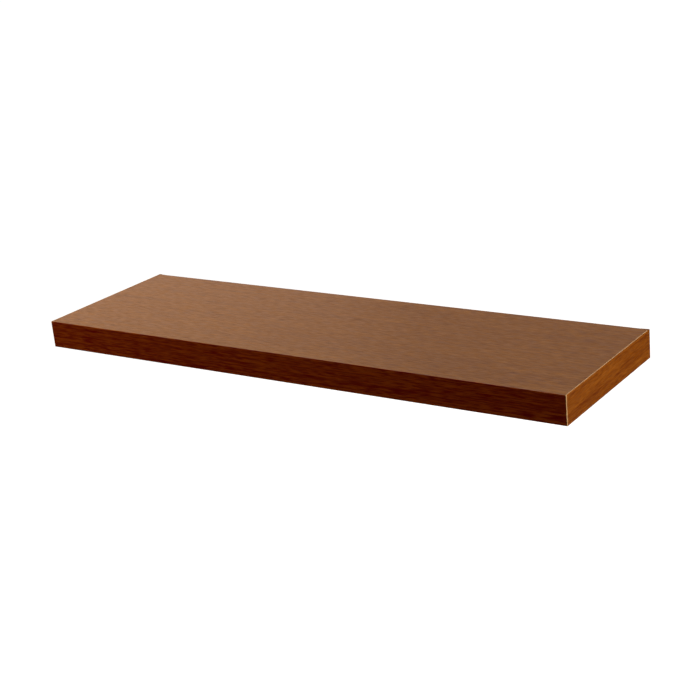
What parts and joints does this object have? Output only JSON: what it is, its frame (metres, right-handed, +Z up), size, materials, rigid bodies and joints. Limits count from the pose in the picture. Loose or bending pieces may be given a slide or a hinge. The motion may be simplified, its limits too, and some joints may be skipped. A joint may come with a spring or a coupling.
{
  "type": "floating wall shelf",
  "caption": "Long, thin hollow-core wall shelf in reddish-brown wood grain that slides onto a concealed steel rod bracket.",
  "frame": {"origin": "middle of the bracket rail's back face, which lies against the wall", "axes": "+X along the shelf to its right end, +Y into the wall, +Z up"},
  "size_m": [0.8, 0.2372, 0.038],
  "materials": {
    "wood_foil": "satin reddish-brown wood-grain foil",
    "band_foil": "satin wood-grain edge banding",
    "fibreboard": "raw high-density fibreboard",
    "batten_timber": "planed softwood",
    "block_timber": "planed hardwood",
    "kraft_paper": "brown kraft paper",
    "zinc_steel": "bright zinc plating",
    "black_plastic": "moulded black plastic",
    "brass": "turned brass",
    "dark_steel": "black oxide"
  },
  "bodies": {
    "wall_bracket": {"wall_rail": "zinc_steel", "rod_left": "zinc_steel", "rod_centre": "zinc_steel", "rod_right": "zinc_steel"},
    "shelf_board": {"decor_foil": "wood_foil", "top_skin": "fibreboard", "bottom_skin": "fibreboard", "front_skin": "fibreboard", "front_rail": "batten_timber", "rear_rail": "batten_timber", "honeycomb_core": "kraft_paper", "end_rail_left": "batten_timber", "end_rail_right": "batten_timber", "edge_band_left": "band_foil", "edge_band_right": "band_foil", "guide_block_left": "block_timber", "guide_block_centre": "block_timber", "guide_block_right": "block_timber", "rod_bush_left": "black_plastic", "rod_bush_centre": "black_plastic", "rod_bush_right": "black_plastic", "lock_insert_left": "brass", "lock_insert_right": "brass"},
    "left_lock": {"lock_screw_left": "dark_steel"},
    "right_lock": {"lock_screw_right": "dark_steel"}
  },
  "joints": [
    {"name": "board_slide", "type": "slide", "parent": "wall_bracket", "child": "shelf_board", "axis": [0, -1, 0], "range_m": [0, 0.15]},
    {"name": "left_lock_travel", "type": "slide", "parent": "shelf_board", "child": "left_lock", "axis": [0, 0, -1], "range_m": [0, 0.0025]},
    {"name": "right_lock_travel", "type": "slide", "parent": "shelf_board", "child": "right_lock", "axis": [0, 0, -1], "range_m": [0, 0.0025]}
  ]
}
